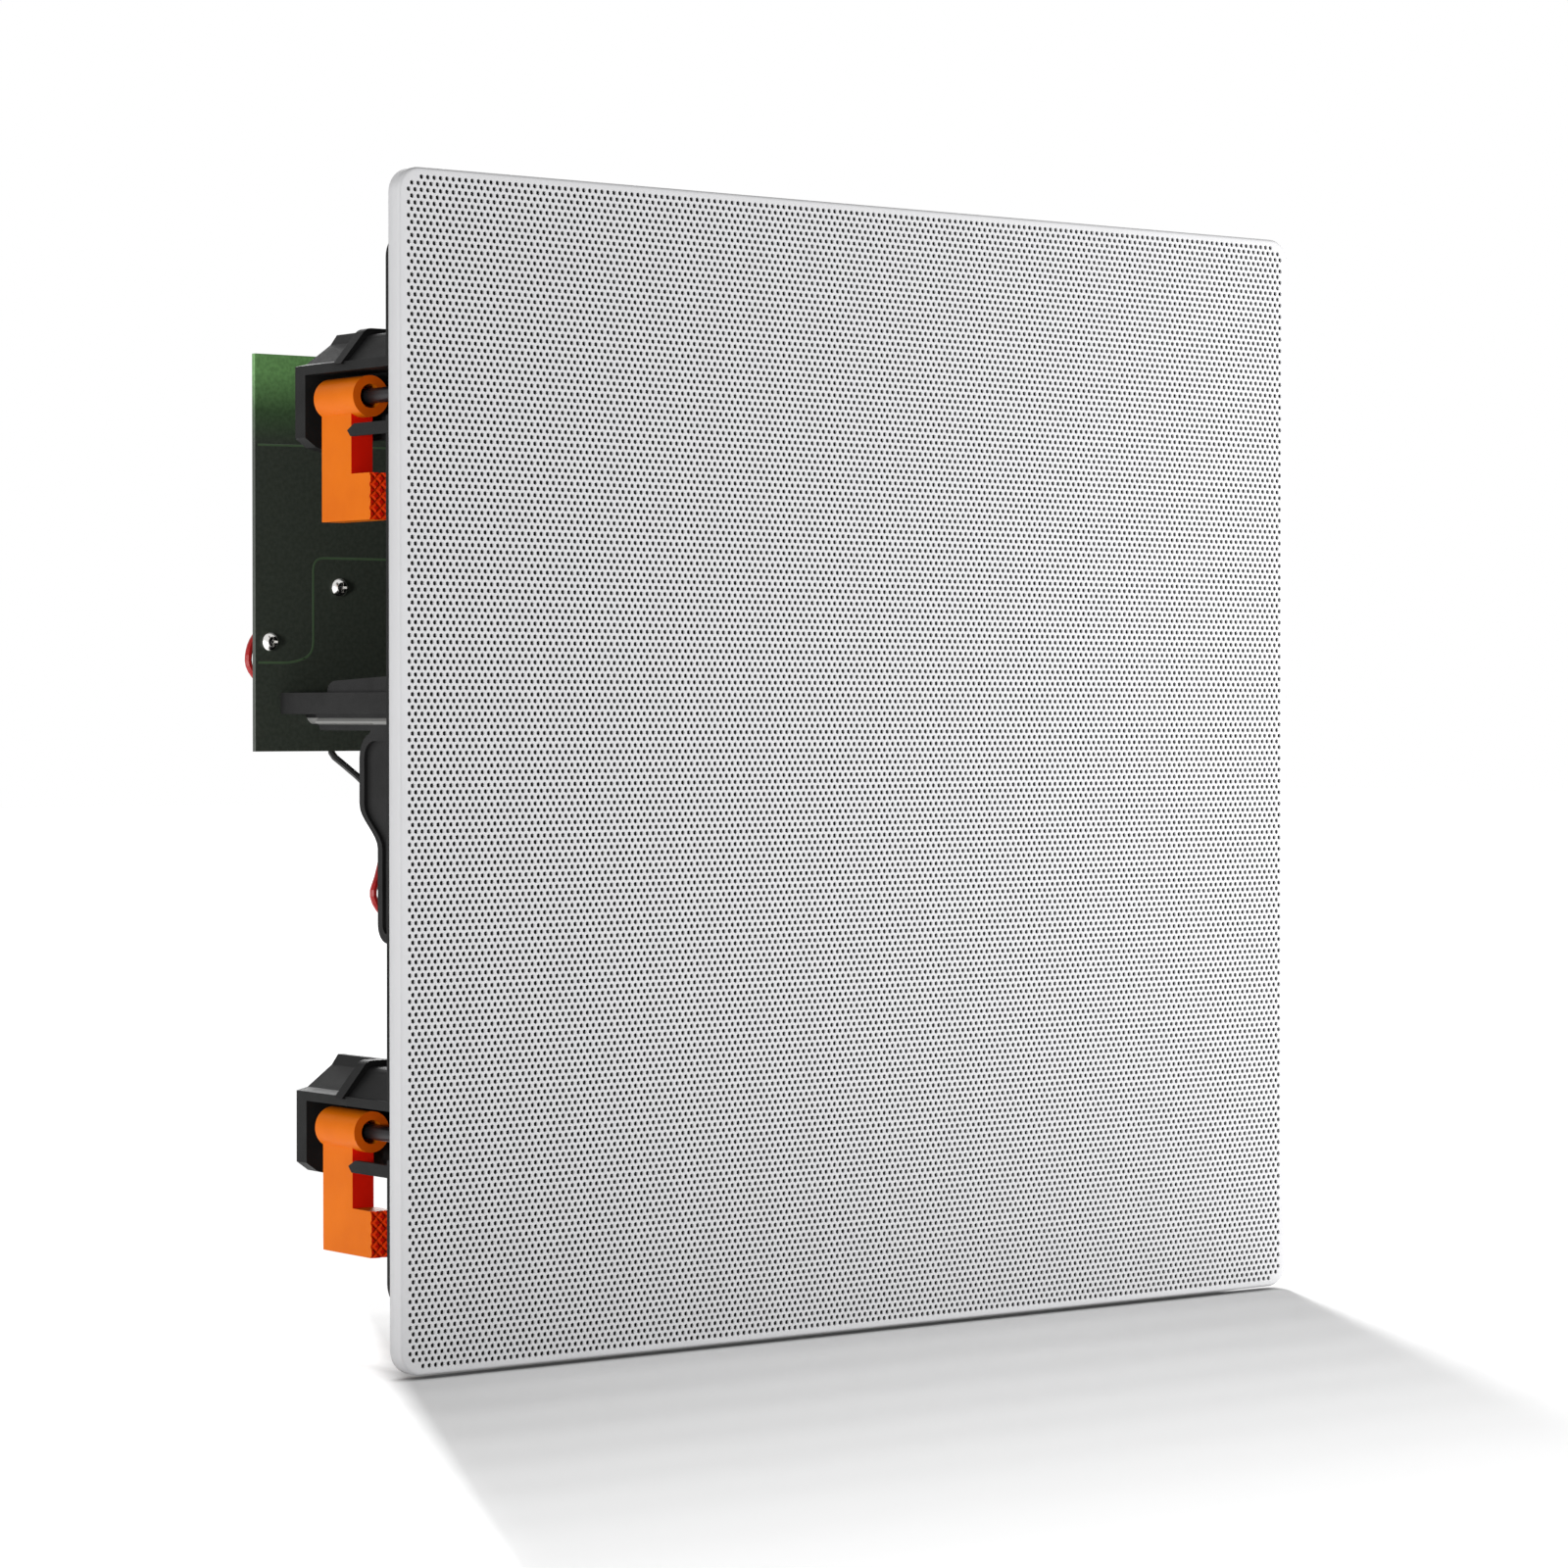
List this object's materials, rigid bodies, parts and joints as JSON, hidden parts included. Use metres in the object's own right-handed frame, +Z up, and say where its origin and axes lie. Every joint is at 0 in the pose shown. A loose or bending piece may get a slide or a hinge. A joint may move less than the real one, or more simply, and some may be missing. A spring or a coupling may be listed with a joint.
{
  "type": "ceiling speaker",
  "caption": "Square flush-mount loudspeaker with a perforated grille, a moulded frame held by swing-out clamps, a two-way driver and a circuit board on a bracket behind.",
  "frame": {"origin": "centre of the square cut-out, in the plane of the wall's or ceiling's surface", "axes": "+Y into the wall, away from the listener; +Z up the wall as the picture shows it; +X along the wall, to the right seen from the front"},
  "size_m": [0.31, 0.1281, 0.31],
  "materials": {
    "grille": "fine powder coat, light grey-white",
    "scrim": "open black cloth",
    "magnet_plate": "nickel plated",
    "frame": "black moulded plastic, fine texture",
    "clamp_screw": "black oxide",
    "dog": "orange moulded plastic, satin",
    "gasket": "soft foam rubber",
    "basket": "black painted steel",
    "cone": "black polypropylene",
    "surround": "black rubber",
    "spider": "resin-treated cloth",
    "coil_wire": "enamelled copper wire",
    "steel": "zinc plated",
    "ferrite": "ferrite",
    "black_screw": "black zinc",
    "bright_screw": "bright nickel",
    "strip": "phenolic board",
    "brass": "tinned brass",
    "tweeter": "black moulded plastic",
    "dome": "coated cloth dome",
    "board": "green solder mask over glass-filled board",
    "bracket": "black moulded plastic",
    "input_block": "black moulded plastic",
    "lead_red": "red insulation",
    "lead_black": "black insulation",
    "film": "dark red lacquer",
    "resistor": "white cement"
  },
  "bodies": {
    "frame": {"grille_magnets": "magnet_plate", "frame": "frame", "woofer_gasket": "gasket", "woofer_basket": "basket", "cone_surround": "surround", "spider": "spider", "top_plate": "steel", "ring_magnet": "ferrite", "pole_piece": "steel", "woofer_screws": "black_screw", "terminal_strip": "strip", "terminal_tabs": "brass", "tweeter_bridge": "frame", "bridge_screws": "black_screw", "tweeter_cup": "tweeter", "tweeter_dome": "dome", "tweeter_magnet": "magnet_plate", "circuit_board": "board", "board_bracket": "bracket", "bracket_screws": "black_screw", "board_screws": "bright_screw", "input_block": "input_block", "block_screws": "bright_screw", "block_clamps": "brass", "input_lead_red": "lead_red", "large_coil": "coil_wire", "small_coil": "coil_wire", "film_capacitors": "film", "power_resistor": "resistor", "woofer_lead_black": "lead_black", "woofer_lead_red": "lead_red", "tweeter_lead": "lead_black"},
    "grille": {"grille": "grille", "scrim": "scrim"},
    "cone": {"woofer_cone": "cone", "dust_cap": "cone", "voice_coil": "coil_wire"},
    "screw_1": {"clamp_screw_1": "clamp_screw"},
    "dog_1": {"clamp_dog_1": "dog"},
    "screw_2": {"clamp_screw_2": "clamp_screw"},
    "dog_2": {"clamp_dog_2": "dog"},
    "screw_3": {"clamp_screw_3": "clamp_screw"},
    "dog_3": {"clamp_dog_3": "dog"},
    "screw_4": {"clamp_screw_4": "clamp_screw"},
    "dog_4": {"clamp_dog_4": "dog"}
  },
  "joints": [
    {"name": "swing_1", "type": "hinge", "parent": "frame", "child": "screw_1", "pos_m": [-0.1377, 0, 0.0992], "axis": [0, 1, 0], "range_deg": [0, 90]},
    {"name": "clamp_1", "type": "slide", "parent": "screw_1", "child": "dog_1", "axis": [0, -1, 0], "range_m": [0, 0.0205]},
    {"name": "swing_2", "type": "hinge", "parent": "frame", "child": "screw_2", "pos_m": [-0.1377, 0, -0.096], "axis": [0, 1, 0], "range_deg": [0, 90]},
    {"name": "clamp_2", "type": "slide", "parent": "screw_2", "child": "dog_2", "axis": [0, -1, 0], "range_m": [0, 0.0205]},
    {"name": "swing_3", "type": "hinge", "parent": "frame", "child": "screw_3", "pos_m": [0.1377, 0, -0.0992], "axis": [0, 1, 0], "range_deg": [0, 90]},
    {"name": "clamp_3", "type": "slide", "parent": "screw_3", "child": "dog_3", "axis": [0, -1, 0], "range_m": [0, 0.0205]},
    {"name": "swing_4", "type": "hinge", "parent": "frame", "child": "screw_4", "pos_m": [0.1377, 0, 0.096], "axis": [0, 1, 0], "range_deg": [0, 90]},
    {"name": "clamp_4", "type": "slide", "parent": "screw_4", "child": "dog_4", "axis": [0, -1, 0], "range_m": [0, 0.0205]},
    {"name": "grille_pull", "type": "slide", "parent": "frame", "child": "grille", "axis": [0, -1, 0], "range_m": [0, 0.03]},
    {"name": "cone_travel", "type": "slide", "parent": "frame", "child": "cone", "axis": [0, -1, 0], "range_m": [-0.003, 0.003], "stiffness_N_per_m": 1500, "deforming": ["cone_surround", "spider"]}
  ]
}
